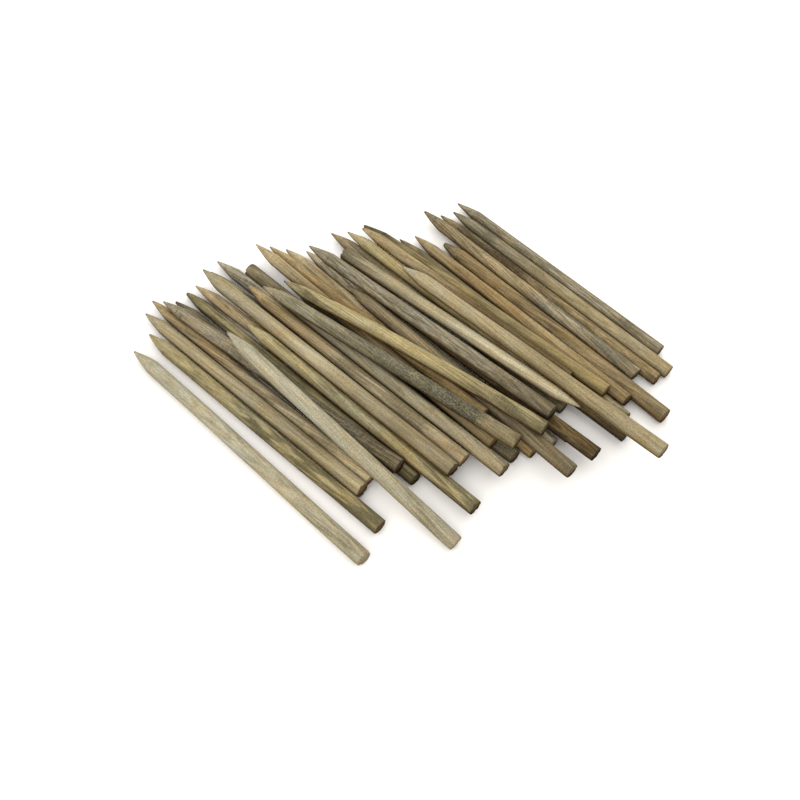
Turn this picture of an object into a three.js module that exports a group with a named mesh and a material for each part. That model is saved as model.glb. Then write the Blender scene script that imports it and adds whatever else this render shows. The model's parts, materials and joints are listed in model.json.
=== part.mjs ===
// A loose heap of pointed garden stakes: round wooden sticks, sawn square at the butt and
// sharpened like a pencil at the other end. Each stake is one piece of wood, and nothing holds
// them together but their weight: some lie on the ground and the others rest on those below.
// Millimetres, +Z up, the stakes run along Y with their points towards +Y.

import * as THREE from 'three';

// One stake
const STAKE_LENGTH = 300;     // nominal, from butt to tip
const STAKE_THICKNESS = 14.5; // nominal, across the middle of the round shaft
const STAKE_TAPER = 0.12;     // how much of it the shaft loses from the butt to the point
const POINT_LENGTH = 28;      // the sharpened end
const POINT_SWELL = 0.5;      // how far the side of the point swells out of a straight cone
const TIP_WIDTH = 1.8;        // the blunt end of the point
const BUTT_CHAMFER = 0.8;     // the worn edge round the sawn butt
const SHAFT_SIDES = 12;

// How the stakes lie
const RESTING_GAP = 0.3;      // between two stakes that touch
const SAMPLE_STEP = 4;        // along a stake, where it is tested against the ones below
const ROLL_FIRST = 1;         // sideways steps of a stake that rolls into a hollow
const ROLL_LAST = 0.25;
const ROLL_LIMIT = 2;
const ROLL_FRICTION = 0.1;    // what it has to sink for each step
const ROLLS = [[1, 1], [-1, -1], [1, 0], [-1, 0], [0, 1], [0, -1], [1, -1], [-1, 1]];
const BOW_RINGS = 6;          // bends along a stake that isn't straight

// Weathering of the wood, from fresh to old
const FINISHES = {
  pale: { color: 0xb3a383, roughness: 0.78 },
  tan: { color: 0xa58a5f, roughness: 0.76 },
  olive: { color: 0x948656, roughness: 0.8 },
  grey: { color: 0x8b806b, roughness: 0.88 },
  speckled: { color: 0x7f7d6e, roughness: 0.9 },
  brown: { color: 0x6d5a3e, roughness: 0.82 },
};

// The heap in the order in which its stakes come to rest, the lowest first. A stake's butt lies so
// many nominal thicknesses across and lengths along, and its point is slewed clockwise from +Y, in
// degrees. Its length and thickness are shares of the nominal ones, and a bow is a share of its length.
const HEAP = [
  // On the ground, from left to right
  { number: 1, finish: 'pale', across: -10.14, along: -0.3, slew: 1.8, length: 1.067, thickness: 1.062 },
  { number: 2, finish: 'olive', across: -7.89, along: -0.267, slew: 0, length: 1.047, thickness: 1.021 },
  { number: 4, finish: 'tan', across: -5.85, along: -0.133, slew: 0, length: 1.007, thickness: 0.924 },
  { number: 6, finish: 'grey', across: -4.88, along: -0.167, slew: 0.5, length: 0.987, thickness: 0.855 },
  { number: 7, finish: 'olive', across: -3.99, along: -0.237, slew: 0.5, length: 1.06, thickness: 0.91 },
  { number: 11, finish: 'tan', across: -2.29, along: -0.1, slew: -1.7, length: 0.913, thickness: 0.869 },
  { number: 13, finish: 'grey', across: -1.35, along: -0.167, slew: 0, length: 0.983, thickness: 0.855 },
  { number: 18, finish: 'grey', across: -0.4, along: -0.167, slew: 0, length: 1, thickness: 0.91 },
  { number: 19, finish: 'brown', across: 0.54, along: 0.723, slew: 180, length: 0.983, thickness: 0.924 },
  { number: 16, finish: 'speckled', across: 1.5, along: -0.417, slew: 0.2, length: 0.99, thickness: 0.952 },
  { number: 22, finish: 'tan', across: 2.69, along: -0.45, slew: 2.3, length: 1.143, thickness: 0.959 },
  { number: 24, finish: 'grey', across: 3.86, along: -0.477, slew: 1.4, length: 1.11, thickness: 0.924 },
  { number: 25, finish: 'brown', across: 5.18, along: -0.503, slew: 0.8, length: 0.987, thickness: 0.924 },
  { number: 29, finish: 'brown', across: 6.62, along: -0.42, slew: 0.8, length: 1.043, thickness: 0.924 },
  { number: 31, finish: 'brown', across: 7.66, along: -0.63, slew: 0.5, length: 0.987, thickness: 0.924 },
  { number: 35, finish: 'brown', across: 8.69, along: -0.593, slew: 2.8, length: 1.02, thickness: 0.924 },
  { number: 37, finish: 'tan', across: 10.52, along: -0.68, slew: 3.1, length: 0.993, thickness: 1.034 },
  { number: 39, finish: 'brown', across: 12.55, along: -0.58, slew: 2.5, length: 0.973, thickness: 0.869 },
  { number: 41, finish: 'grey', across: 14.55, along: -0.523, slew: 2, length: 0.907, thickness: 0.828 },
  // In the hollows between them and across them
  { number: 36, finish: 'tan', across: 9.59, along: -0.56, slew: 3.3, length: 0.96, thickness: 0.897 },
  { number: 38, finish: 'grey', across: 11.79, along: -0.523, slew: 2.5, length: 0.967, thickness: 0.897 },
  { number: 40, finish: 'pale', across: 13.45, along: -0.593, slew: 2.5, length: 0.96, thickness: 0.924 },
  { number: 3, finish: 'pale', across: -6.86, along: -0.147, slew: 0, length: 1, thickness: 0.993 },
  { number: 8, finish: 'grey', across: -4.11, along: -0.187, slew: -4.5, length: 1.007, thickness: 0.993 },
  { number: 9, finish: 'olive', across: -3.18, along: -0.443, slew: 0.6, length: 0.993, thickness: 0.993 },
  { number: 10, finish: 'pale', across: -2.45, along: -0.323, slew: 0.4, length: 1.127, thickness: 1.021 },
  { number: 12, finish: 'tan', across: -1.33, along: -0.32, slew: 1, length: 0.977, thickness: 0.993 },
  { number: 14, finish: 'pale', across: -0.14, along: -0.433, slew: 0, length: 1, thickness: 0.993 },
  { number: 15, finish: 'tan', across: 0.9, along: -0.347, slew: 2.8, length: 1.103, thickness: 0.897 },
  { number: 20, finish: 'tan', across: 2.59, along: -0.59, slew: 3.2, length: 0.993, thickness: 0.993 },
  { number: 21, finish: 'tan', across: 2.28, along: -0.267, slew: 1.9, length: 1, thickness: 0.862 },
  { number: 26, finish: 'brown', across: 4.9, along: -0.61, slew: 0.2, length: 0.987, thickness: 0.959 },
  { number: 30, finish: 'olive', across: 7.24, along: -0.413, slew: 0.6, length: 0.98, thickness: 0.924 },
  { number: 34, finish: 'olive', across: 9, along: -0.497, slew: -0.1, length: 1.053, thickness: 0.924 },
  { number: 33, finish: 'tan', across: 8.03, along: -0.383, slew: 0.8, length: 0.92, thickness: 0.855 },
  // On top, with nothing on them
  { number: 5, finish: 'pale', across: -5.42, along: -0.47, slew: 0.8, length: 0.993, thickness: 1.034 },
  { number: 17, finish: 'speckled', across: 1.65, along: -0.413, slew: -6.3, length: 1, thickness: 0.993 },
  {
    number: 23, finish: 'olive', across: 3.51, along: -0.45, slew: -7.8, length: 1.01, thickness: 0.959,
    bow: 0.01,
  },
  { number: 27, finish: 'grey', across: 4.9, along: -0.43, slew: -1.5, length: 1.03, thickness: 0.993 },
  { number: 28, finish: 'pale', across: 5.66, along: 0.51, slew: 177.3, length: 0.987, thickness: 0.924 },
  { number: 32, finish: 'pale', across: 7, along: -0.767, slew: 0.4, length: 1.07, thickness: 1.021 },
];

// A hump over a length: nothing at either end, and 1 in the middle
function hump(share) {
  return 1 - (2 * share - 1) ** 2;
}

// Half the width of a stake, at a distance from its butt: a shaft that tapers, and then the point
function halfWidth(stake, distance) {
  const share = Math.min(distance / (stake.length - POINT_LENGTH), 1);
  const shaft = stake.radius * (1 + STAKE_TAPER * (0.5 - share));
  if (share < 1) return shaft;
  const tip = TIP_WIDTH / 2;
  const fromTip = (stake.length - distance) / POINT_LENGTH;
  return tip + (shaft - tip) * fromTip + POINT_SWELL * hump(fromTip);
}

// Sideways bend of a bowed stake, at a distance from its butt
function bowAt(stake, distance) {
  return stake.bow * hump(distance / stake.length);
}

// A stake put down with its butt and its tip rolled aside by so much, and the run of its axis over
// the ground, sampled from butt to tip
function putDown(entry, buttRoll, tipRoll) {
  const length = STAKE_LENGTH * entry.length;
  const slew = THREE.MathUtils.degToRad(entry.slew) + (tipRoll - buttRoll) / length;
  const stake = {
    ...entry,
    buttRoll,
    tipRoll,
    length,
    radius: STAKE_THICKNESS * entry.thickness / 2,     // at the middle of the shaft
    bow: length * (entry.bow ?? 0),
    ahead: new THREE.Vector2(Math.sin(slew), Math.cos(slew)),
    aside: new THREE.Vector2(Math.cos(slew), -Math.sin(slew)),
  };
  stake.butt = new THREE.Vector2(entry.across * STAKE_THICKNESS, entry.along * STAKE_LENGTH);
  stake.butt.addScaledVector(stake.aside, buttRoll);
  const steps = Math.ceil(length / SAMPLE_STEP);
  stake.samples = Array.from({ length: steps + 1 }, (_, step) => {
    const distance = length * step / steps;
    const bow = bowAt(stake, distance);
    return {
      distance,
      x: stake.butt.x + stake.ahead.x * distance + stake.aside.x * bow,
      y: stake.butt.y + stake.ahead.y * distance + stake.aside.y * bow,
      radius: halfWidth(stake, distance),
    };
  });
  return stake;
}

// The lowest height at which one sample clears the ground and every stake that already lies there
function lowestHeight(sample, laid) {
  let height = sample.radius;
  for (const below of laid) {
    for (const point of below.samples) {
      const reach = sample.radius + point.radius + RESTING_GAP;
      const sideways = sample.x - point.x;
      const lengthways = sample.y - point.y;
      const room = reach * reach - sideways * sideways - lengthways * lengthways;
      if (room > 0) height = Math.max(height, point.height + Math.sqrt(room));
    }
  }
  return height;
}

// How far from its butt a stake balances
function balanceOf(stake) {
  let weight = 0;
  let moment = 0;
  for (const { radius, distance } of stake.samples) {
    weight += radius ** 2;
    moment += radius ** 2 * distance;
  }
  return moment / weight;
}

// Lets a stake down until it rests on two supports, one on each side of the middle of its weight
function letDown(stake, laid) {
  const balance = balanceOf(stake);
  const supports = stake.samples.map((sample) => ({
    distance: sample.distance,
    height: lowestHeight(sample, laid),
  }));
  stake.restHeight = -Infinity;
  for (const near of supports.filter((support) => support.distance <= balance)) {
    for (const far of supports.filter((support) => support.distance > balance)) {
      const slope = (far.height - near.height) / (far.distance - near.distance);
      const height = near.height + slope * (balance - near.distance);
      if (height > stake.restHeight) {
        stake.restHeight = height;
        stake.slope = slope;
      }
    }
  }
  stake.buttHeight = stake.restHeight - stake.slope * balance;
  for (const sample of stake.samples) {
    sample.height = stake.buttHeight + stake.slope * sample.distance;
  }
  return stake;
}

// Rolls a stake sideways, either end by itself, for as long as that lets it sink lower
function rollIn(entry, laid) {
  let best = letDown(putDown(entry, 0, 0), laid);
  for (let step = ROLL_FIRST; step >= ROLL_LAST; step /= 2) {
    let rolled = true;
    while (rolled) {
      rolled = false;
      for (const [butt, tip] of ROLLS) {
        const buttRoll = best.buttRoll + butt * step;
        const tipRoll = best.tipRoll + tip * step;
        if (Math.max(Math.abs(buttRoll), Math.abs(tipRoll)) > ROLL_LIMIT) continue;
        const tried = letDown(putDown(entry, buttRoll, tipRoll), laid);
        if (tried.restHeight < best.restHeight - ROLL_FRICTION * step) {
          best = tried;
          rolled = true;
        }
      }
    }
  }
  return best;
}

// The solid of one stake, turned about +Y from the butt at the origin to the tip
function stakeGeometry(stake) {
  const shoulder = stake.length - POINT_LENGTH;
  const rings = stake.bow === 0 ? 1 : BOW_RINGS;
  const profile = [new THREE.Vector2(0, 0), new THREE.Vector2(halfWidth(stake, 0) - BUTT_CHAMFER, 0)];
  for (let ring = 0; ring <= rings; ring += 1) {
    const distance = BUTT_CHAMFER + (shoulder - BUTT_CHAMFER) * ring / rings;
    profile.push(new THREE.Vector2(halfWidth(stake, distance), distance));
  }
  const middle = stake.length - POINT_LENGTH / 2;
  profile.push(new THREE.Vector2(halfWidth(stake, middle), middle));
  profile.push(new THREE.Vector2(TIP_WIDTH / 2, stake.length), new THREE.Vector2(0, stake.length));
  const geometry = new THREE.LatheGeometry(profile, SHAFT_SIDES);
  const points = geometry.getAttribute('position');
  for (let index = 0; index < points.count; index += 1) {
    points.setX(index, points.getX(index) + bowAt(stake, points.getY(index)));
  }
  geometry.computeVertexNormals();
  return geometry;
}

// One stake where it rests, its axis tilted by the slope and slewed over the ground
function makeStake(stake) {
  const { color, roughness } = FINISHES[stake.finish];
  const material = new THREE.MeshStandardMaterial({ color, roughness, metalness: 0 });
  const mesh = new THREE.Mesh(stakeGeometry(stake), material);
  const axis = new THREE.Vector3(stake.ahead.x, stake.ahead.y, stake.slope).normalize();
  const aside = new THREE.Vector3(stake.aside.x, stake.aside.y, 0);
  const above = new THREE.Vector3().crossVectors(aside, axis);
  mesh.quaternion.setFromRotationMatrix(new THREE.Matrix4().makeBasis(aside, axis, above));
  mesh.position.set(stake.butt.x, stake.butt.y, stake.buttHeight);
  mesh.name = `stake_${String(stake.number).padStart(2, '0')}_${stake.finish}`;
  return mesh;
}

const laid = [];
for (const entry of HEAP) laid.push(rollIn(entry, laid));

const heap = new THREE.Group();
for (const stake of laid) heap.add(makeStake(stake));

// The origin is on the ground, under the middle of the heap
const box = new THREE.Box3().setFromObject(heap, true);
const middle = box.getCenter(new THREE.Vector3());
heap.position.set(-middle.x, -middle.y, -box.min.z);

const group = new THREE.Group();
group.add(heap);

export default group;
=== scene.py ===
"""A loose heap of pointed garden stakes, dressed as weathered wood round its solids."""
import json
import math

import bmesh
import bpy
import numpy as np
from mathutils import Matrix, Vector

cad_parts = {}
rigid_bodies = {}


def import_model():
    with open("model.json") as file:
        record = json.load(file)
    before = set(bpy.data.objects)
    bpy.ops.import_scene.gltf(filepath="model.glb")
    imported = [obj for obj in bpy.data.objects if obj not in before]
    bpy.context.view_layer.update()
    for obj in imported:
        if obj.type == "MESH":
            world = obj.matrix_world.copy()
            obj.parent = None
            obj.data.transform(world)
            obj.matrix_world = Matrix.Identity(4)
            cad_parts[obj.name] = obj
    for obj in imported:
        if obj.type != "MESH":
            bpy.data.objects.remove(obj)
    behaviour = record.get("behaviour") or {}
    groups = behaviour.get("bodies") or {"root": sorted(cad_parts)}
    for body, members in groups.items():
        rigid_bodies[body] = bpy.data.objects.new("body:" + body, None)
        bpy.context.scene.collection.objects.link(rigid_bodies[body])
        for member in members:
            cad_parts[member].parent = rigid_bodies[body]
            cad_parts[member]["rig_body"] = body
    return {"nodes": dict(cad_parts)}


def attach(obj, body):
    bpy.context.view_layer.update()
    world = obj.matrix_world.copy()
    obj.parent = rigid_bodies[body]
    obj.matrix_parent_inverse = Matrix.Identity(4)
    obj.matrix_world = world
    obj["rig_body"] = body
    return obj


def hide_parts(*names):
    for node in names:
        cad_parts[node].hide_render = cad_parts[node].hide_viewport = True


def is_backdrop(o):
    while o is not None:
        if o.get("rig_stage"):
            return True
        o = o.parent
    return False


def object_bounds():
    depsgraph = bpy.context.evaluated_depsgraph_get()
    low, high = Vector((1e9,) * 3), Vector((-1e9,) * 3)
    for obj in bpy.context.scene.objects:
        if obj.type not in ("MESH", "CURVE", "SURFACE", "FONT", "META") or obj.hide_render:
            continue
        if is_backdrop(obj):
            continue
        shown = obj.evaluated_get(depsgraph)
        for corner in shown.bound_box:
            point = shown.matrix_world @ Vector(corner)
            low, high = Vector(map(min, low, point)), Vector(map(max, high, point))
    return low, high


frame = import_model()
cad_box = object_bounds()


# The blank. Every stake is a length of wood that has run through a rounding machine. It is sawn
# square at the butt, where handling has worn the edge, and sharpened like a pencil at the other
# end. It is modelled once, standing on its butt, and copied for each stake.
BLANK_LENGTH = 0.300
BLANK_RADIUS = 0.00725
BLANK_SIDES = 64
SHAFT_CUTS = 96           # rings along the shaft
POINT_LENGTH = 0.028
POINT_STEPS = 12
POINT_SWELL = 0.0005      # how far the side of the point swells out of a straight cone
TIP_RADIUS = 0.0009
TIP_DOME = 0.0005         # height of the rounded end of the point
DOME_STEPS = (2 / 3, 1 / 3)      # shares of that height
DOME_SHRINK = 0.45
WORN_EDGE = 0.0006        # round the sawn butt
WORN_STEPS = 3
END_RINGS = 5             # insets of the sawn face
FACING = 0.9              # a face whose normal leans no further than this looks up or down
SMOOTH_ANGLE = math.radians(40)


def pick(kind, test):
    """Selects the faces or edges that pass a test, in the mesh that is being edited."""
    bpy.ops.mesh.select_mode(type=kind)
    bpy.ops.mesh.select_all(action="DESELECT")
    mesh = bpy.context.edit_object.data
    shape = bmesh.from_edit_mesh(mesh)
    for part in shape.faces if kind == "FACE" else shape.edges:
        part.select_set(test(part))
    bmesh.update_edit_mesh(mesh)


def hump(share):
    """A hump over a length: nothing at either end, and 1 in the middle."""
    return 1 - (2 * share - 1) ** 2


def pull_up(rise, shrink, height):
    """Extrudes what is selected upwards, and draws it in about the axis."""
    bpy.ops.mesh.extrude_region_move(TRANSFORM_OT_translate={"value": (0, 0, rise)})
    bpy.ops.transform.resize(value=(shrink, shrink, 1), center_override=(0, 0, height))


shaft_length = BLANK_LENGTH - POINT_LENGTH
bpy.ops.object.select_all(action="DESELECT")
bpy.ops.mesh.primitive_cylinder_add(
    vertices=BLANK_SIDES, radius=BLANK_RADIUS, depth=shaft_length, location=(0, 0, shaft_length / 2)
)
blank = bpy.context.object
bpy.ops.object.transform_apply(location=True)
bpy.ops.object.mode_set(mode="EDIT")
pick("EDGE", lambda edge: edge.calc_length() > shaft_length / 2)
bpy.ops.mesh.subdivide(number_cuts=SHAFT_CUTS)

pick("FACE", lambda face: face.normal.z > FACING)
width = BLANK_RADIUS
point_step = (POINT_LENGTH - TIP_DOME) / POINT_STEPS
for step in range(1, POINT_STEPS + 1):
    to_tip = 1 - step / POINT_STEPS
    narrower = TIP_RADIUS + (BLANK_RADIUS - TIP_RADIUS) * to_tip + POINT_SWELL * hump(to_tip)
    pull_up(point_step, narrower / width, shaft_length + step * point_step)
    width = narrower
height = BLANK_LENGTH - TIP_DOME
for share in DOME_STEPS:
    height += share * TIP_DOME
    pull_up(share * TIP_DOME, DOME_SHRINK, height)
bpy.ops.mesh.poke()

pick("EDGE", lambda edge: max(corner.co.z for corner in edge.verts) < WORN_EDGE / 2)
bpy.ops.mesh.bevel(offset=WORN_EDGE, segments=WORN_STEPS, affect="EDGES")
pick("FACE", lambda face: face.normal.z < -FACING and len(face.verts) == BLANK_SIDES)
for _ in range(END_RINGS):
    bpy.ops.mesh.inset(thickness=(BLANK_RADIUS - WORN_EDGE) / (END_RINGS + 1))
bpy.ops.mesh.poke()
bpy.ops.object.mode_set(mode="OBJECT")
bpy.ops.object.shade_smooth_by_angle(angle=SMOOTH_ANGLE)
blank_points = np.array([corner.co for corner in blank.data.vertices], float)


# A stake's place comes from its solid: where its butt is, which way it points, how long it is, how
# thick at the butt and where the point starts, and how far its middle is bowed out of the straight.
SAME_PLACE = 6            # decimals of a metre that tell two corners apart
END_REACH = 0.0002        # corners this near to the end belong to its face
RING_REACH = 0.002        # corners this near to a place along the stake belong to its ring
MIDDLE_REACH = 0.1        # share of the length, to each side of the middle


def radius_of(ring):
    """The radius of a ring of corners about its own middle."""
    return float(np.linalg.norm(ring - ring.mean(axis=0), axis=1).max())


def lie_of(node):
    """The butt, direction, length, radii and bow of a stake, read from its solid."""
    corners = np.array([corner.co for corner in frame["nodes"][node].data.vertices], float)
    corners = np.unique(corners.round(SAME_PLACE), axis=0)
    middle = corners.mean(axis=0)
    direction = np.linalg.svd(corners - middle)[2][0]
    along = (corners - middle) @ direction
    ends = [corners[along < along.min() + END_REACH], corners[along > along.max() - END_REACH]]
    ends.sort(key=lambda end: np.ptp(end, axis=0).max())
    tip, butt = (end.mean(axis=0) for end in ends)
    length = float(np.linalg.norm(tip - butt))
    direction = (tip - butt) / length
    along = (corners - butt) @ direction
    offsets = corners - butt - np.outer(along, direction)
    by_butt = (along > END_REACH) & (along < RING_REACH)
    by_point = abs(along - (length - POINT_LENGTH)) < RING_REACH
    by_middle = abs(along / length - 0.5) < MIDDLE_REACH
    return {
        "butt": butt,
        "direction": direction,
        "length": length,
        "radius": radius_of(corners[by_butt]),
        "narrow": radius_of(corners[by_point]),
        "bow": offsets[by_middle].mean(axis=0) if by_middle.any() else np.zeros(3),
    }


# The shaft of each stake. The machine leaves it a little oval and uneven, with flats where the wood
# was too thin, and it wanders a little. Knots stand out of it, and some have split in drying.
CROWDING = 0.5                   # rings lie closer towards the butt
OVAL = 0.010                     # share of the radius
OVAL_WAVES = (0.06, 0.2)         # shortest and longest wave along the stake
OVAL_HUMPS = (0, 2)              # fewest and most humps around it
UNEVEN = 0.004
UNEVEN_WAVES = (0.008, 0.03)
UNEVEN_HUMPS = (2, 6)
WANDER = 0.00015                 # of the stake's axis, so it has no humps around it
WANDER_WAVES = (0.15, 0.4)
WANDER_HUMPS = (0, 0)
FLATS = 3
FLAT_DEPTH = 0.035               # share of the radius
FLAT_REACH = (0.05, 0.16)        # along the stake
FLAT_FACING = 0.5                # a flat turns no further round than 60 degrees, whose cosine this is
KNOT_RAISE = 0.00022
KNOT_SHORTENING = 0.7            # makes a knot longer along the stake than around it
SPLIT_DEPTH = 0.0006
SPLIT_LEAD = 0.004               # a split starts to open this far before its place
SPLIT_OPENING = 0.006
SPLIT_CLOSING = 0.02


def ripple(chance, along, angle, waves, humps, count=4):
    """Smooth unevenness over a shaft, of about 1 either way: wave lengths, and humps around it."""
    total = np.zeros_like(along)
    for _ in range(count):
        wave = chance.uniform(*waves)
        turn = chance.integers(humps[0], humps[1] + 1)
        lengthways = np.cos(2 * math.pi * (along / wave + chance.random()))
        total += lengthways * np.cos(turn * angle + 2 * math.pi * chance.random())
    return total / math.sqrt(count)


def fade(value, low, high):
    """Rises smoothly from 0 at low to 1 at high."""
    share = np.clip((value - low) / (high - low), 0, 1)
    return share * share * (3 - 2 * share)


def pared(out, stock, turned, depth, where):
    """Pares a flat on one side of a round stock, where it may be: no wood stays outside the flat."""
    facing = np.cos(turned)
    flat = stock * (1 - depth) / np.maximum(facing, FLAT_FACING)
    return np.where(where & (facing > FLAT_FACING), np.minimum(out, flat), out)


def turned_from(angle, degrees):
    """How far round the shaft from a place that is given in degrees from the top."""
    return (angle - math.radians(degrees) + math.pi) % (2 * math.pi) - math.pi


def knots_on(knots, along, angle, radius, length):
    """Where the knots are: 1 in the middle of one, fading to nothing around it."""
    knot = np.zeros_like(along)
    for share, degrees, size in knots:
        around = turned_from(angle, degrees) * radius
        away = np.hypot(around, (along - share * length) * KNOT_SHORTENING)
        knot = np.maximum(knot, np.exp(-(away / size) ** 2))
    return knot


def splits_on(splits, along, angle, length):
    """Where the splits are. Each one follows the blank's column of corners that is nearest to it."""
    split = np.zeros_like(along)
    for start, end, degrees in splits:
        column = round(degrees * BLANK_SIDES / 360) * 360 / BLANK_SIDES
        on_line = abs(turned_from(angle, column)) < math.pi / BLANK_SIDES
        opening = fade(along, start * length - SPLIT_LEAD, start * length + SPLIT_OPENING)
        closing = 1 - fade(along, end * length - SPLIT_CLOSING, end * length)
        split = np.maximum(split, opening * closing * on_line)
    return split


# The ends of each stake. The saw has left the butt a little aslant, with fine marks, and handling
# has chipped and rounded it. Strokes have flattened the point, and some tips are broken or bent.
BUTT_LEAN = 4                    # degrees out of square, at most
LEAN_REACH = 0.03                # the rings along the shaft lean with the butt as far as this
SAW_ROUGHNESS = 0.00012
SAW_MARKS = (3100, 2300)         # radians for each metre, one way and the other across the butt
SAW_SHIFT = 6                    # radians by which the marks shift from stake to stake, at most
CHIP_DEPTH = 0.0016
CHIP_REACH = 0.004
CHIP_RIM = 0.55                  # share of the radius where the chips start
CHIP_HUMPS = (2, 9)
CHIP_COUNT = 6                   # ripples that make up the chips
CHIP_LEAST = 0.15                # chipping between the humps
WORN_REACH = 0.0035              # how far a worn butt is rounded
WORN_CHIPS = 0.6                 # how much more it is worn at a chip
POINT_UNEVEN = 0.020             # share of the radius
POINT_WAVES = (0.02, 0.06)
POINT_HUMPS = (1, 4)
POINT_FADE = (0, 0.4)            # share of the point over which it gets uneven
POINT_CUTS = 3                   # strokes
CUT_DEPTH = 0.18                 # share of the cone's radius
CUT_FADE = (0.05, 0.5)
APEX_SHIFT = 0.0010              # how far the apex lies out of the middle
FRAY_HUMPS = (2, 7)
FRAY_COUNT = 5                   # ripples that make up a break's notches
STUB = 0.12                      # what is left of the length past a break
BEND_REACH = 0.07                # how far from the tip a bent point starts
GRIME = 0.4                      # dirt beside the butt, where the sawn face is 1
GRIME_REACH = 0.009              # how far it has crept up
# Painted shade: each stake's underside and lower flanks are darkened between these two angles round from
# the top, where the heap shades them.
PAINTED_SHADE_FROM = math.radians(50)     # round from the top, where the painted shade of the underside starts
PAINTED_SHADE_TO = math.radians(105)
GRAIN_LEAN = 0.09                # sideways run of the grain for each length of the stake
GRAIN_STEP = 0.613               # from one stake's stretch of grain to the next one's
PITH_OFFSET = (0.004, 0.018)     # least and most, from the stake's axis

# Each look also gives its tone, which is its brightness: partly the wood's own, and partly painted light
# and shade, raised or lowered along the stake to give the light and shade that fall on it in the heap. It
# also gives how far stain and mould cover the wood. These and the warmth may change along the stake: then
# they are places, from butt to tip, with values.
USUAL_LOOK = {
    "warmth": 0,          # of the colour, and below 0 it is cool
    "end": 0.5,           # how much of the sawn face shows its own colour
    "ragged": 0.15,       # chips of the butt
    "worn": 0.015,        # share of the radius that has gone from the rim of the butt
    "painted_shade": 0.9,          # painted shade of the underside
    "blunt": 0,           # length that is broken off the tip
    "fray": 0,            # depth of the break's notches
    "bend": (0, 0),       # of the tip, aside and up
    "knots": (),          # each a share of the length, degrees round from the top, and a size
    "splits": (),         # each two shares of the length, and degrees round from the top
}


def rough_rim(chance, angle, humps, count):
    """Humps of about 1 around an end, with level stretches between: the ripple of a single ring."""
    ring = np.zeros_like(angle)    # it has no length, so the wave lengths don't matter
    return np.maximum(ripple(chance, ring, angle, OVAL_WAVES, humps, count), 0)


def run_of(look, name, share):
    """A value that a look gives along the stake: one number, or places along it with their numbers."""
    value = look[name]
    if isinstance(value, (int, float)):
        return np.full_like(share, value)
    places, amounts = zip(*value)
    return np.interp(share, places, amounts)


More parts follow.
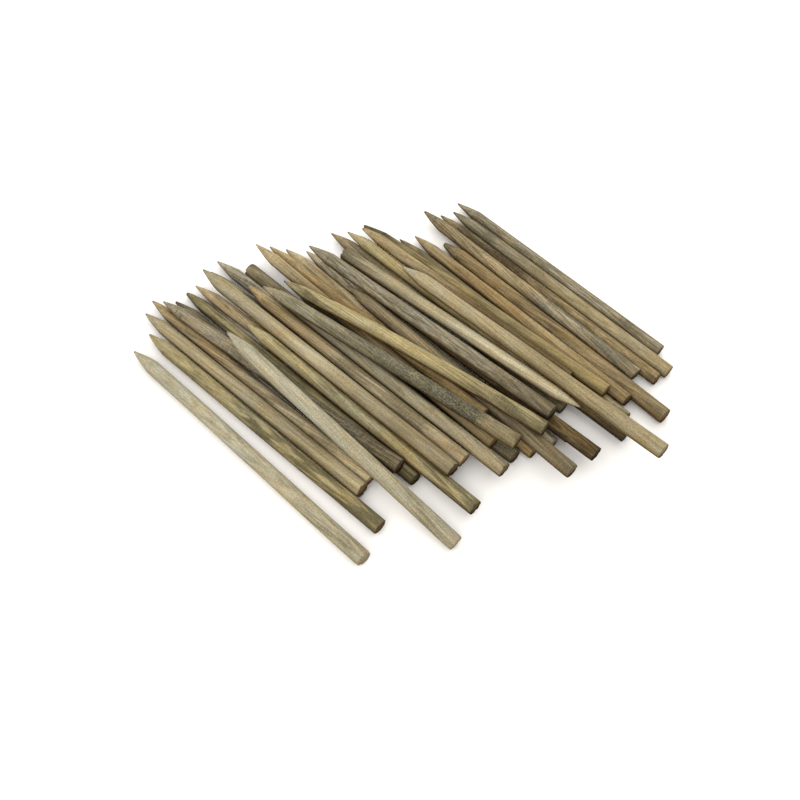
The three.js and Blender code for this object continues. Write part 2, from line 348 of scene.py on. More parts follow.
def shape_stake(piece, number, lie, look):
    """Gives a copy of the blank one stake's own form and place, and marks it for its finish."""
    # The blank, drawn out to this stake's length and thickness
    look = {**USUAL_LOOK, **look}
    chance = np.random.default_rng(number)
    x, y, z = blank_points.T
    angle = np.arctan2(x, y)
    length = lie["length"]
    shaft = length - POINT_LENGTH
    above_edge = np.clip((z - WORN_EDGE) / (shaft_length - WORN_EDGE), 0, 1)
    crowded = above_edge * (1 - CROWDING + CROWDING * above_edge)
    along = np.minimum(z, WORN_EDGE) + crowded * (shaft - WORN_EDGE) + np.maximum(z - shaft_length, 0)
    radius = np.interp(along, (0, shaft), (lie["radius"], lie["narrow"]))
    plain = np.hypot(x, y) * radius / BLANK_RADIUS
    on_side = fade(z, WORN_EDGE / 2, WORN_EDGE)
    tip = np.clip((along - shaft) / POINT_LENGTH, 0, 1)

    # Its shaft and its point
    out = plain * (1 + OVAL * ripple(chance, along, angle, OVAL_WAVES, OVAL_HUMPS))
    out = out * (1 + UNEVEN * ripple(chance, along, angle, UNEVEN_WAVES, UNEVEN_HUMPS))
    uneven_point = POINT_UNEVEN * fade(tip, *POINT_FADE)
    out = out * (1 + uneven_point * ripple(chance, along, angle, POINT_WAVES, POINT_HUMPS))
    for _ in range(FLATS):
        side = chance.uniform(-math.pi, math.pi)
        place = chance.uniform(0, length)
        reach = chance.uniform(*FLAT_REACH)
        depth = FLAT_DEPTH * chance.random() * np.exp(-((along - place) / reach) ** 2)
        out = pared(out, radius, angle - side, depth, tip == 0)
    for _ in range(POINT_CUTS):
        side = chance.uniform(-math.pi, math.pi)
        depth = CUT_DEPTH * chance.random() * fade(tip, *CUT_FADE)
        out = pared(out, plain, angle - side, depth, tip > 0)
    knot = knots_on(look["knots"], along, angle, radius, length)
    split = splits_on(look["splits"], along, angle, length) * on_side
    out = out + KNOT_RAISE * knot * on_side
    out = out - SPLIT_DEPTH * split * (1 - tip)

    # Its butt, and the break of its tip
    grain_x, grain_y = out * np.sin(angle), out * np.cos(angle)
    chips = rough_rim(chance, angle, CHIP_HUMPS, CHIP_COUNT) + CHIP_LEAST
    near_rim = fade(np.hypot(x, y), BLANK_RADIUS * CHIP_RIM, BLANK_RADIUS)
    by_butt = 1 - fade(along, 0, CHIP_REACH)
    worn = look["worn"] * (1 - fade(along, 0, WORN_REACH)) * (1 + WORN_CHIPS * chips)
    out = out * (1 - worn)
    saw = np.cos(x * SAW_MARKS[0] + chance.random() * SAW_SHIFT)
    saw = saw * np.cos(y * SAW_MARKS[1] + chance.random() * SAW_SHIFT)
    lean_x, lean_y = np.tan(np.radians(chance.uniform(-BUTT_LEAN, BUTT_LEAN, 2)))
    leaning = lean_x * grain_x + lean_y * grain_y + lie["radius"] * math.hypot(lean_x, lean_y)
    placed = along + leaning * (1 - fade(along, 0, LEAN_REACH))
    placed = placed + by_butt * (1 - on_side) * SAW_ROUGHNESS * (1 + saw)
    placed = placed + by_butt * near_rim * chips * CHIP_DEPTH * look["ragged"]
    fray = look["fray"] * rough_rim(chance, angle, FRAY_HUMPS, FRAY_COUNT)
    broken = length - look["blunt"] - fray
    placed = np.where(placed > broken, broken + (placed - broken) * STUB, placed)

    # Its place in the heap
    aside = np.cross(lie["direction"], (0, 0, 1))
    aside /= np.linalg.norm(aside)
    above = np.cross(aside, lie["direction"])
    bent = fade(along, length - BEND_REACH, length + BEND_REACH) * 2    # 1 at the tip, still rising
    bend_aside, bend_up = look["bend"]
    drift_aside, drift_up = (
        WANDER * ripple(chance, along, angle, WANDER_WAVES, WANDER_HUMPS) for _ in range(2)
    )
    apex_aside, apex_up = APEX_SHIFT * chance.uniform(-1, 1, 2)
    to_apex = fade(tip, 0, 1)
    side = out * np.sin(angle) + drift_aside + bent * bend_aside + to_apex * apex_aside
    up = out * np.cos(angle) + drift_up + bent * bend_up + to_apex * apex_up
    points = lie["butt"] + np.outer(placed, lie["direction"])
    points = points + np.outer(side, aside) + np.outer(up, above)
    points = points + np.outer(hump(along / length), lie["bow"])
    piece.data.vertices.foreach_set("co", points.astype(np.float32).ravel())

    # What its finish goes by
    pith_angle = chance.uniform(-math.pi, math.pi)
    pith = chance.uniform(*PITH_OFFSET)
    run_x, run_y = GRAIN_LEAN * chance.uniform(-1, 1, 2)
    share = along / length
    grime = GRIME * (1 - fade(along, 0, GRIME_REACH)) * (1 + np.minimum(chips, 1)) / 2
    # Painted shade: the underside and lower flanks, by the angle round from the top
    painted_shade = look["painted_shade"] * fade(abs(angle), PAINTED_SHADE_FROM, PAINTED_SHADE_TO)
    # The third value of wear is the tone, which carries painted light and shade; the third value of ends
    # is the painted shade of the underside.
    marks = {
        "grain": (
            grain_x + pith * math.sin(pith_angle) + run_x * along,
            grain_y + pith * math.cos(pith_angle) + run_y * along,
            along + number * GRAIN_STEP,
        ),
        "wear_and_painted_light": (run_of(look, "stain", share), run_of(look, "mould", share), run_of(look, "tone_and_painted_light", share)),
        "ends": (np.maximum(1 - on_side, grime) * look["end"], tip, painted_shade),
        "flaws": (knot, split, run_of(look, "warmth", share)),
    }
    for name, values in marks.items():
        attribute = piece.data.attributes.new(name, "FLOAT_VECTOR", "POINT")
        attribute.data.foreach_set("vector", np.stack(values, axis=1).astype(np.float32).ravel())
    piece.data.update()


# The wood. All the stakes are bare wood, whose growth rings, fibres, pores and streaks run along
# them. Weather has stained, moulded and furrowed it, and the rounding machine has left strokes
# across it. Each finish below is this wood in its own colours.
LIGHT_ON_HEAP = 1.17             # the light from above, where 1 makes a white sheet just white


def paint(red, green, blue):
    """A colour as the picture shows it, from 0 to 255, as the share of the light that wood gives back."""
    shares = (value / 255 for value in (red, green, blue))
    linear = (s / 12.92 if s <= 0.04045 else ((s + 0.055) / 1.055) ** 2.4 for s in shares)
    return (*(value / LIGHT_ON_HEAP for value in linear), 1.0)


# Marks of the wood: how far they reach across the grain and along it, and how fine their detail is
SWAY = (0.010, 0.10, 2)
STREAK = (0.0024, 0.060, 2)
FIBRE = (0.0008, 0.020, 3)
GRIT = (0.0009, 0.0014, 2)
PATCH = (0.007, 0.040, 3)
BLOTCH = (0.0013, 0.0024, 4)
BLOOM = (0.008, 0.030, 2)        # of warmer and cooler wood
FURROW = (0.0009, 0.045, 2)
PORE = (0.0008, 0.0026, 1)
CHATTER = (0.0080, 0.0008, 0)    # the machine's strokes
RING_WIDTH = 0.0023
RING_SWAY = 0.004
RING_SWERVE = 0.003              # round a knot
RING_MEAN = 0.37                 # of the rings' light and dark
BUMP_HEIGHT = 0.00018
BUMP_STRENGTH = 0.8
GLOSS = 0.03
LEAST_ROUGH = 0.7
COOL = (0.90, 1.0, 1.16, 1)
WARM = (1.10, 1.0, 0.82, 1)
WARMTH_STEP = 0.3                # share of the way from cool to warm for each 1 of warmth
# Painted shade: the underside's colour is multiplied by this dark brown
PAINTED_SHADE_TINT = (0.30, 0.18, 0.04)
KNOT_COLOUR = paint(100, 84, 60)
SPLIT_COLOUR = paint(48, 40, 28)
SAWN_COLOUR = paint(80, 66, 45)
TIP_COLOUR = paint(92, 84, 70)
MIX_SHARE, MIX_FIRST, MIX_SECOND, MIX_RESULT = 0, 6, 7, 2     # a Mix node's sockets for colours


class Wire:
    """A socket of a material's nodes that can stand in a sum: a sum on values adds Math nodes."""

    def __init__(self, tree, socket=None):
        self.tree = tree
        self.socket = socket

    def node(self, kind, settings, inputs, output=0):
        """Adds a node with its settings and its inputs, and gives one of its outputs."""
        added = self.tree.nodes.new(kind)
        for name, value in settings.items():
            setattr(added, name, value)
        for name, value in inputs.items():
            if isinstance(value, Wire):
                self.tree.links.new(value.socket, added.inputs[name])
            else:
                added.inputs[name].default_value = value
        return Wire(self.tree, added.outputs[output])

    def math(self, operation, first, second=0.0):
        """Adds one Math node."""
        return self.node("ShaderNodeMath", {"operation": operation}, {0: first, 1: second})

    def __add__(self, other):
        return self.math("ADD", self, other)

    def __sub__(self, other):
        return self.math("SUBTRACT", self, other)

    def __rsub__(self, other):
        return self.math("SUBTRACT", other, self)

    def __mul__(self, other):
        return self.math("MULTIPLY", self, other)

    def __pow__(self, power):
        return self.math("POWER", self, power)

    __radd__ = __add__
    __rmul__ = __mul__


def rise(value, low, high):
    """A wire that goes smoothly from 0 at low to 1 at high."""
    settings = {"interpolation_type": "SMOOTHSTEP"}
    return value.node("ShaderNodeMapRange", settings, {"Value": value, "From Min": low, "From Max": high})


def spread(noise, amount):
    """Noise to both sides of 0, so strong."""
    return (noise - 0.5) * amount


def times(vector, other):
    """A colour or a place whose parts are multiplied, each by its own."""
    return vector.node("ShaderNodeVectorMath", {"operation": "MULTIPLY"}, {0: vector, 1: other})


def blend(share, first, second):
    """A colour between two colours."""
    inputs = {MIX_SHARE: share, MIX_FIRST: first, MIX_SECOND: second}
    return share.node("ShaderNodeMix", {"data_type": "RGBA"}, inputs, MIX_RESULT)


def layer(under, over, cover, strength):
    """A colour laid over another one where it covers it. The strength is how much of that it hides."""
    return blend(cover * strength, under, over)


def cloud(place, across, along, detail):
    """Noise whose patches are so long across the grain and along it, in metres."""
    stretched = times(place, (1 / across, 1 / across, 1 / along))
    return place.node("ShaderNodeTexNoise", {}, {"Vector": stretched, "Scale": 1.0, "Detail": detail})


def parts_of(mark):
    """The three values that one of a stake's marks carries."""
    return [mark.node("ShaderNodeSeparateXYZ", {}, {0: mark}, axis) for axis in "XYZ"]


def wood(name, light, dark, stain, mould, end, fibres, strokes):
    """Bare weathered wood, with its grain along the stake. Each stake says where it is stained, and
    the finish says how strongly the fibres and the machine's strokes show.
    """
    material = bpy.data.materials.new(name)
    material.use_nodes = True
    tree = material.node_tree
    start = Wire(tree)
    grain, wear_and_painted_light, ends, flaws = (
        start.node("ShaderNodeAttribute", {"attribute_name": mark}, {}, "Vector")
        for mark in ("grain", "wear_and_painted_light", "ends", "flaws")
    )
    stained, moulded, tone_and_painted_light = parts_of(wear_and_painted_light)
    sawn, tip, painted_shade = parts_of(ends)
    knot, split, warmth = parts_of(flaws)

    across = times(grain, (1, 1, 0))
    from_pith = grain.node("ShaderNodeVectorMath", {"operation": "LENGTH"}, {0: across}, "Value")
    swayed = from_pith + cloud(grain, *SWAY) * RING_SWAY + knot * RING_SWERVE
    turn = swayed * (2 * math.pi / RING_WIDTH)
    rings = (turn.math("SINE", turn) * 0.5 + 0.5) ** 2
    streak = cloud(grain, *STREAK)
    fibre = cloud(grain, *FIBRE)
    grit = cloud(grain, *GRIT)
    patch = cloud(grain, *PATCH)
    blotch = cloud(grain, *BLOTCH)
    bloom = cloud(grain, *BLOOM)
    furrow = rise(cloud(grain, *FURROW), low=0.52, high=0.64)
    pores = rise(cloud(grain, *PORE), low=0.62, high=0.74)
    chatter = spread(cloud(grain, *CHATTER), strokes) * rise(patch, low=0.35, high=0.65)

    lines = spread(streak, 1.5) + spread(patch, 0.5) + (rings - RING_MEAN) * 0.25
    lines = lines + spread(fibre, fibres) + spread(grit, 0.6)
    colour = blend(rise(lines, low=-0.35, high=0.35), light, dark)
    cast = blend(warmth * WARMTH_STEP + spread(bloom, 1.4) + 0.5, COOL, WARM)
    colour = times(colour, cast)
    cover = stained + spread(patch, 1.4) + spread(streak, 1.2) + spread(fibre, 0.4)
    covered = rise(cover, low=0.3, high=0.75)
    colour = layer(colour, stain, covered, strength=0.85)
    mottled = rise(moulded + spread(blotch, 1.4) + spread(grit, 1.8), low=0.4, high=0.95)
    colour = layer(colour, mould, mottled, strength=0.8)
    colour = layer(colour, mould, pores, strength=0.4 * fibres)
    colour = layer(colour, mould, furrow, strength=0.45 * fibres)
    colour = layer(colour, KNOT_COLOUR, rise(knot, low=0.35, high=0.85), strength=0.6)
    colour = layer(colour, light, rise(tip, low=0, high=0.12), strength=0.3)
    colour = layer(colour, TIP_COLOUR, rise(tip + spread(grit, 0.2), low=0.86, high=1), strength=0.6)
    sawn_colour = blend(rise(rings * 0.5 + spread(grit, 1.5), low=0, high=0.9), end, SAWN_COLOUR)
    colour = blend(rise(sawn + spread(grit, 0.5), low=0.1, high=0.9), colour, sawn_colour)
    colour = layer(colour, SPLIT_COLOUR, rise(split, low=0.35, high=0.9), strength=0.8)
    # Painted shade: the underside and lower flanks are darkened towards brown
    colour = blend(painted_shade, colour, times(colour, PAINTED_SHADE_TINT))
    # Painted light and shade: the tone scales the colour's brightness, together with the grit, fibres and
    # strokes.
    shade = tone_and_painted_light * (chatter + spread(grit, 1.6) + spread(fibre, 2 * fibres) + 1)
    colour = colour.node("ShaderNodeVectorMath", {"operation": "SCALE"}, {0: colour, "Scale": shade})

    relief = (fibre - furrow) * fibres + streak * 0.4 + rings * 0.2 + chatter + grit * 0.3
    bump = {"Strength": BUMP_STRENGTH, "Distance": BUMP_HEIGHT, "Height": relief}
    shader = tree.nodes["Principled BSDF"]
    tree.links.new(colour.socket, shader.inputs["Base Color"])
    tree.links.new((LEAST_ROUGH + fibre * 0.2 + covered * 0.1).socket, shader.inputs["Roughness"])
    tree.links.new(start.node("ShaderNodeBump", {}, bump).socket, shader.inputs["Normal"])
    shader.inputs["Specular IOR Level"].default_value = GLOSS
    return material


def make_stakes(finish, material, looks):
    """Makes the stakes of one finish, each in its solid's place and on its solid's body."""
    for number, look in looks.items():
        node = f"stake_{number:02d}_{finish}"
        piece = blank.copy()
        piece.data = blank.data.copy()
        piece.name = f"stake_{number:02d}_wood"
        bpy.context.scene.collection.objects.link(piece)
        shape_stake(piece, number, lie_of(node), look)
        piece.data.materials.append(material)
        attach(piece, frame["nodes"][node]["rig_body"])
        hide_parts(node)


# Pale stakes: the freshest ones, peeled and rounded not long ago. Their wood is still cream, with
# faint green and grey clouds, and some butts are frayed from handling.
pale = wood(
    "pale_wood", light=paint(187, 177, 148), dark=paint(161, 148, 117), stain=paint(138, 130, 104),
    mould=paint(102, 90, 64), end=paint(130, 112, 84), fibres=0.3, strokes=0.35,
)
make_stakes("pale", pale, {
    1: {
        "tone_and_painted_light": [(0, 0.75), (0.5, 0.95), (0.75, 0.98), (1, 0.9)], "warmth": [(0.3, -0.1), (0.5, -0.8)],
        "stain": [(0, 0.25), (0.15, 0.4), (0.3, 0.1), (1, 0.1)], "mould": 0.05,
        "end": 0.3, "ragged": 0.6, "worn": 0.06, "painted_shade": 0.2,
    },
    3: {
        "tone_and_painted_light": [(0, 0.8), (0.25, 0.62), (0.5, 0.76), (1, 0.8)],
        "warmth": [(0, 0.7), (0.3, 1.2), (0.5, 0.9)],
        "stain": [(0, 0.2), (0.25, 0.3), (0.5, 0.15), (1, 0.1)], "mould": 0.1,
        "end": 0.9, "ragged": 0.6, "painted_shade": 0.8,
    },
    5: {
        "tone_and_painted_light": [(0, 0.74), (0.3, 0.82), (0.7, 0.96), (1, 0.86)], "warmth": [(0.3, 0), (0.5, -0.7)],
        "stain": [(0, 0.15), (0.12, 0.45), (0.3, 0.3), (0.4, 0.05), (1, 0.1)], "mould": 0.03,
        "end": 0.3, "ragged": 0.7, "worn": 0.06, "painted_shade": 0.2,
    },
    10: {
        "tone_and_painted_light": [(0, 0.5), (0.3, 0.62), (0.5, 0.94), (1, 0.72)], "warmth": [(0, 1.7), (0.4, 0.5), (1, 1)],
        "stain": [(0, 0.4), (0.1, 0.15), (1, 0.15)], "mould": 0.08, "end": 1, "ragged": 0.7,
    },
    14: {
        "tone_and_painted_light": [(0, 0.7), (0.35, 0.78), (0.7, 0.5)], "warmth": [(0, 0.9), (0.5, 0)],
        "stain": [(0, 0.4), (0.1, 0.2), (1, 0.3)], "mould": 0.1, "end": 1, "ragged": 0.8,
    },
    28: {
        "tone_and_painted_light": [(0, 0.65), (0.3, 0.9), (0.7, 1.32), (1, 1.02)], "warmth": [(0, 1), (0.5, 0), (1, 0.7)],
        "stain": [(0, 0.9), (0.1, 0.5), (0.2, 0.25), (0.4, 0.05), (1, 0.1)],
        "mould": [(0, 0.4), (0.2, 0.1), (1, 0.05)], "end": 1, "ragged": 1, "fray": 0.003,
    },
    32: {
        "tone_and_painted_light": [(0, 0.74), (0.4, 0.62), (0.7, 0.85)], "warmth": [(0, 1), (0.4, 1.7), (0.7, 0.8)],
        "stain": 0.1, "mould": 0.06, "end": 0.4, "ragged": 0.3,
    },
    40: {
        "tone_and_painted_light": [(0.3, 0.69), (0.7, 0.52)], "warmth": [(0.3, 1.4), (1, 0)],
        "stain": [(0, 0.1), (0.75, 0.2), (0.82, 0.6), (0.95, 0.6)], "mould": 0.1, "fray": 0.005,
    },
})


# Tan stakes: seasoned ones whose wood has turned warm, from honey to a reddish brown.
# The rounding machine has left fine marks across them.
tan = wood(
    "tan_wood", light=paint(170, 152, 116), dark=paint(138, 119, 87), stain=paint(110, 100, 77),
    mould=paint(80, 64, 38), end=paint(116, 95, 64), fibres=0.6, strokes=0.6,
)
make_stakes("tan", tan, {
    4: {
        "tone_and_painted_light": [(0, 1.7), (0.3, 1.42), (0.7, 1.03)],
        "warmth": [(0, -0.6), (0.4, -1.2), (0.7, 0.6), (1, -0.2)],
        "stain": [(0, 0.2), (0.4, 0.5), (0.7, 0.3), (1, 0.2)], "mould": 0.1, "fray": 0.003,
    },
    11: {"tone_and_painted_light": 1.45, "stain": [(0, 0.3), (0.6, 0.1), (1, 0.2)], "mould": 0.1},
    12: {
        "tone_and_painted_light": [(0, 1.12), (0.4, 1.2), (0.7, 1.08)], "mould": 0.1,
        "warmth": [(0, -0.7), (0.5, -1.2), (0.7, 0.5)],
        "stain": [(0, 0.1), (0.12, 0.2), (0.18, 0.6), (0.55, 0.6), (0.62, 0.2), (1, 0.2)], "fray": 0.004,
    },
    15: {
        "tone_and_painted_light": [(0.5, 0.7), (0.7, 0.85), (1, 1.5)], "warmth": [(0.7, 0.6), (1, -1.3)],
        "stain": 0.15, "mould": 0.1,
    },
    20: {
        "tone_and_painted_light": [(0, 0.58), (0.7, 0.97), (1, 0.78)], "warmth": -0.8,
        "stain": 0.2, "mould": 0.12, "end": 0.3,
    },
    21: {
        "tone_and_painted_light": [(0.7, 0.88), (1, 1.12)], "stain": 0.15, "mould": 0.1, "warmth": [(0.7, 1.6), (1, 0)],
    },
    22: {
        "tone_and_painted_light": [(0, 0.8), (0.7, 1.85), (1, 1.4)], "warmth": [(0, 1), (1, -1)],
        "stain": 0.15, "mould": 0.12,
    },
    33: {
        "tone_and_painted_light": [(0.35, 0.36), (0.7, 1), (1, 1.1)], "warmth": [(0.4, 1.5), (0.7, -0.3)],
        "stain": 0.1, "mould": 0.1, "blunt": 0.003, "fray": 0.006,
    },
    36: {
        "tone_and_painted_light": [(0, 0.78), (0.3, 1.05), (0.7, 0.82), (1, 1.04)],
        "warmth": [(0.3, 0.6), (0.6, 1.6), (1, -0.5)],
        "stain": 0.1, "mould": 0.15, "ragged": 0.6, "end": 0.8,
    },
    37: {
        "tone_and_painted_light": [(0, 0.68), (0.3, 0.8), (0.5, 0.63), (0.7, 0.78), (1, 0.55)],
        "warmth": [(0, 0.3), (1, 1.3)],
        "stain": [
            (0, 0.1), (0.1, 0.1), (0.14, 0.5), (0.2, 0.1), (0.43, 0.1),
            (0.48, 0.6), (0.62, 0.6), (0.68, 0.1), (0.88, 0.2), (1, 0.9),
        ],
        "mould": 0.15, "blunt": 0.005, "fray": 0.002, "knots": [(0.95, -30, 0.003)],
    },
})


# Olive stakes: a green tinge has crept into their wood in long bands, most of it towards the ends.
# The one that lies across the top of the heap is bowed, and yellow in its middle.
olive = wood(
    "olive_wood", light=paint(172, 158, 119), dark=paint(140, 127, 91), stain=paint(100, 94, 70),
    mould=paint(74, 66, 40), end=paint(92, 80, 56), fibres=0.5, strokes=0.45,
)
make_stakes("olive", olive, {
    2: {
        "tone_and_painted_light": [(0.5, 0.9), (1, 1.06)], "warmth": [(0.3, 0.8), (0.5, -0.7), (0.7, 0.3), (1, -0.7)],
        "stain": [(0, 0.8), (0.12, 0.65), (0.5, 0.5), (0.65, 0.2), (0.9, 0.1), (1, 0.5)],
        "mould": 0.2, "end": 0.9, "ragged": 0.5, "painted_shade": 0.3, "blunt": 0.001, "fray": 0.002,
    },
    7: {
        "tone_and_painted_light": [(0, 0.45), (0.3, 1), (1, 0.85)], "warmth": 0.3,
        "stain": [(0, 0.45), (0.8, 0.45), (0.95, 0.75)], "mould": [(0, 0.25), (0.7, 0.25), (0.9, 0.5)],
        "blunt": 0.004, "fray": 0.006,
    },
    9: {
        "tone_and_painted_light": [(0.5, 0.97), (1, 1.35)], "warmth": [(0, -0.2), (0.3, 0.8), (0.5, -1.1), (0.7, -0.2)],
        "stain": [(0, 0.75), (0.15, 0.6), (0.25, 0.3), (0.55, 0.35), (0.7, 0.1), (1, 0.05)],
        "mould": [(0, 0.1), (0.25, 0.4), (0.55, 0.4), (0.65, 0.1)], "end": 0.9, "ragged": 0.5,
    },
    23: {
        "tone_and_painted_light": [(0, 0.87), (0.5, 1.13), (0.7, 1.22), (1, 0.9)], "warmth": 0.3,
        "stain": [(0, 0.75), (0.12, 0.4), (0.25, 0.5), (0.33, 0.1), (0.75, 0), (0.82, 0.6), (1, 0.6)],
        "mould": 0.1, "ragged": 0.7, "end": 0.6, "fray": 0.002,
    },
    30: {
        "tone_and_painted_light": [(0.5, 1), (1, 1.15)], "warmth": [(0.7, 0.4), (1, -0.7)],
        "stain": [(0, 0.5), (0.5, 0.2), (0.8, 0.05), (1, 0.1)], "mould": 0.1,
    },
    34: {
        "tone_and_painted_light": [(0, 0.85), (0.3, 0.75), (0.7, 0.7), (1, 0.46)], "warmth": [(0, 1.6), (0.5, 0.3), (1, 1)],
        "stain": [(0, 0.1), (0.7, 0.3), (1, 0.8)], "mould": 0.3, "bend": (-0.002, 0),
        "blunt": 0.002, "fray": 0.004,
    },
})


# Grey stakes: weathered in the open. The soft wood between the fibres has worn away, so they are
# dull and furrowed, and some have grey patches over a brown that still shows.
grey = wood(
    "grey_wood", light=paint(158, 147, 122), dark=paint(116, 106, 84), stain=paint(102, 98, 84),
    mould=paint(70, 66, 57), end=paint(84, 73, 56), fibres=1.0, strokes=0.8,
)
make_stakes("grey", grey, {
    6: {"tone_and_painted_light": 0.65, "warmth": 0.8, "stain": 0.5, "mould": 0.2, "blunt": 0.002, "fray": 0.006},
    8: {
        "tone_and_painted_light": [(0, 0.55), (0.3, 0.66), (0.5, 1.1)], "stain": 0.2, "warmth": [(0, 1.6), (0.3, 0)],
        "mould": [(0, 0.3), (0.1, 0.6), (0.5, 0.65), (0.7, 0.4), (1, 0.2)], "fray": 0.005,
    },
    13: {"tone_and_painted_light": 1, "stain": 0.3, "mould": 0.2},
    18: {"tone_and_painted_light": 1.35, "warmth": -0.75, "stain": 0.2, "mould": 0.15, "fray": 0.003},
    24: {"tone_and_painted_light": 1.5, "stain": 0.3, "mould": 0.2},
    27: {
        "tone_and_painted_light": [(0, 0.58), (0.4, 1.05), (0.7, 1.12), (1, 0.94)], "stain": 0.1, "mould": 0.15,
        "warmth": [(0, 0.8), (0.5, -0.4)],
        "splits": [(0.25, 0.6, -15), (0.5, 0.85, -35)],
    },
    38: {
        "tone_and_painted_light": [(0, 1), (0.5, 1.28), (1, 0.82)], "warmth": [(0.35, 0.9), (0.5, 1.8)],
        "stain": [(0, 0.2), (0.08, 0.5), (0.4, 0.5), (0.48, 0.05), (1, 0.2)], "mould": 0.12,
        "blunt": 0.002, "fray": 0.006,
    },
    41: {
        "tone_and_painted_light": [(0, 0.9), (0.4, 1.1), (0.7, 0.96)], "warmth": 0.1,
        "stain": 0.15, "mould": 0.1, "splits": [(0.08, 0.18, -60)], "fray": 0.005,
    },
})


# Speckled stakes: weather has turned their wood grey with a tinge of green, and mould has
# covered it with fine dark specks, thickest a little way up from the butt.
speckled = wood(
    "speckled_wood", light=paint(166, 153, 122), dark=paint(128, 118, 93), stain=paint(124, 118, 96),
    mould=paint(46, 47, 40), end=paint(110, 98, 72), fibres=0.8, strokes=0.8,
)
make_stakes("speckled", speckled, {
    16: {"tone_and_painted_light": 0.75, "warmth": 1, "stain": 0.5, "mould": 0.4, "end": 0.9},
    17: {
        "tone_and_painted_light": [(0, 0.73), (0.3, 0.95), (0.6, 0.82), (1, 1)],
        "warmth": [(0.3, 0.7), (0.5, -0.1), (1, -0.9)],
        "stain": [(0, 0), (0.1, 0.1), (0.16, 0.75), (0.5, 0.75), (0.8, 0.5), (1, 0.25)],
        "mould": [(0, 0.1), (0.1, 0.15), (0.15, 0.7), (0.4, 0.6), (0.5, 0.4), (0.7, 0.3), (1, 0.15)],
        "ragged": 0.6, "fray": 0.004,
    },
})


# Brown stakes: the oldest ones, dark with damp and earth, with rough ends. Most of them lie
# underneath, and one lies the other way round from its neighbours.
brown = wood(
    "brown_wood", light=paint(146, 129, 96), dark=paint(108, 93, 66), stain=paint(82, 72, 54),
    mould=paint(60, 49, 32), end=paint(80, 65, 44), fibres=0.7, strokes=0.6,
)
make_stakes("brown", brown, {
    19: {
        "tone_and_painted_light": 1.15, "stain": [(0, 0.4), (0.3, 0.1), (1, 0.2)], "mould": 0.15, "warmth": -1.6,
        "ragged": 1, "end": 0.8,
    },
    25: {"tone_and_painted_light": 0.9, "stain": 0.3, "mould": 0.2},
    26: {
        "tone_and_painted_light": [(0, 0.42), (0.3, 0.75)], "stain": 0.3, "mould": 0.2, "warmth": 1.4,
        "ragged": 0.5, "end": 0.9,
    },
    29: {
        "tone_and_painted_light": [(0.3, 1.2), (0.7, 1.8), (1, 1.35)], "stain": 0.2, "mould": 0.2, "warmth": -1.2,
    },
    31: {"tone_and_painted_light": [(0, 0.38), (0.5, 0.9)], "warmth": 0.4, "stain": 0.3, "mould": 0.2},
    35: {"tone_and_painted_light": [(0, 1.5), (1, 0.95)], "warmth": -0.9, "stain": 0.2, "mould": 0.15},
    39: {
        "tone_and_painted_light": [(0.35, 1.12), (0.5, 0.95), (0.7, 1.1), (1, 1.18)], "warmth": [(0.4, 0.4), (1, -1.5)],
        "stain": [(0, 0), (0.45, 0.1), (0.55, 0.5), (0.85, 0.7), (0.95, 0.3)],
        "mould": [(0, 0.1), (0.5, 0.1), (0.6, 0.7), (0.85, 0.7), (0.95, 0.2)],
    },
})
bpy.data.objects.remove(blank)


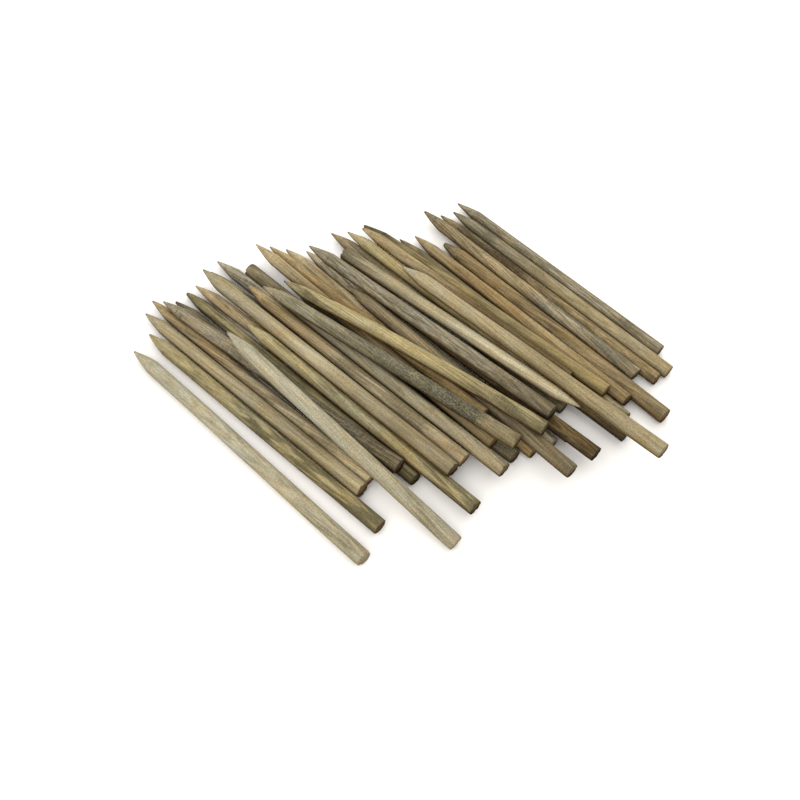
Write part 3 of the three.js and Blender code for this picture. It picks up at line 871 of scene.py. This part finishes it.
# The floor: a wide sheet of matt white, a shade towards cream, that the heap lies on.
# It lies a little below the solids, so that no stake is cut by it.
FLOOR_SIZE = 6.0
FLOOR_GAP = 0.0003
FLOOR_COLOUR = (0.9, 0.87, 0.83, 1)
FLOOR_ROUGHNESS = 0.9
bpy.ops.object.select_all(action="DESELECT")
bpy.ops.mesh.primitive_plane_add(size=FLOOR_SIZE, location=(0, 0, -FLOOR_GAP))
floor = bpy.context.object
floor.name = "floor"
sheet = bpy.data.materials.new("white_sheet")
sheet.use_nodes = True
sheet.node_tree.nodes["Principled BSDF"].inputs["Base Color"].default_value = FLOOR_COLOUR
sheet.node_tree.nodes["Principled BSDF"].inputs["Roughness"].default_value = FLOOR_ROUGHNESS
floor.data.materials.append(sheet)
floor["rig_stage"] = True


# The light: a dim white room, a wide soft box overhead, and a smaller one near each side of the
# heap, the left one stronger. Places are in metres, and the power of a lamp is in watts.
ROOM_COLOUR = (1, 1, 1, 1)
ROOM_LIGHT = 0.54


def soft_box(name, place, aim, size, power):
    """A square lamp that faces a place and isn't seen itself."""
    lamp = bpy.data.objects.new(name, bpy.data.lights.new(name, "AREA"))
    lamp.data.size = size
    lamp.data.energy = power
    lamp.location = place
    lamp.rotation_euler = (Vector(place) - Vector(aim)).to_track_quat("Z", "Y").to_euler()
    lamp.visible_camera = False
    bpy.context.scene.collection.objects.link(lamp)


soft_box("soft_box_above", place=(0, 0, 1.4), aim=(0, 0, 0), size=2.6, power=26)
soft_box("soft_box_left", place=(-0.75, -0.15, 0.62), aim=(-0.1, 0, 0), size=0.7, power=4)
soft_box("soft_box_right", place=(0.72, 0.05, 0.42), aim=(0.1, 0, 0), size=0.7, power=3)
room = bpy.data.worlds.new("white_room")
room.use_nodes = True
room.node_tree.nodes["Background"].inputs["Color"].default_value = ROOM_COLOUR
room.node_tree.nodes["Background"].inputs["Strength"].default_value = ROOM_LIGHT
bpy.context.scene.world = room
bpy.context.scene.view_settings.view_transform = "Standard"


# The camera looks down on the heap from its left front corner, with the points away from it
# and the butts towards it.
VIEW_UP = math.radians(60)              # above the floor
VIEW_TURN = math.radians(48)            # round to the left from the run of the stakes
VIEW_DISTANCE = 1.132
VIEW_LENS = 52.43
AIM = Vector((-0.0350, -0.0160, 0))     # where the middle of the picture meets the floor
towards = Vector((-math.sin(VIEW_TURN), -math.cos(VIEW_TURN), 0)) * math.cos(VIEW_UP)
towards.z = math.sin(VIEW_UP)
camera = bpy.data.objects.new("camera", bpy.data.cameras.new("camera"))
camera.data.lens = VIEW_LENS
camera.location = AIM + towards * VIEW_DISTANCE
camera.rotation_euler = towards.to_track_quat("Z", "Y").to_euler()
bpy.context.scene.collection.objects.link(camera)
bpy.context.scene.camera = camera


# The sizes: the box round the solids and the box round the dressed heap are kept side by side.
boxes = {"cad": cad_box, "visual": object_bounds()}
boxes = {name: [list(corner) for corner in box] for name, box in boxes.items()}
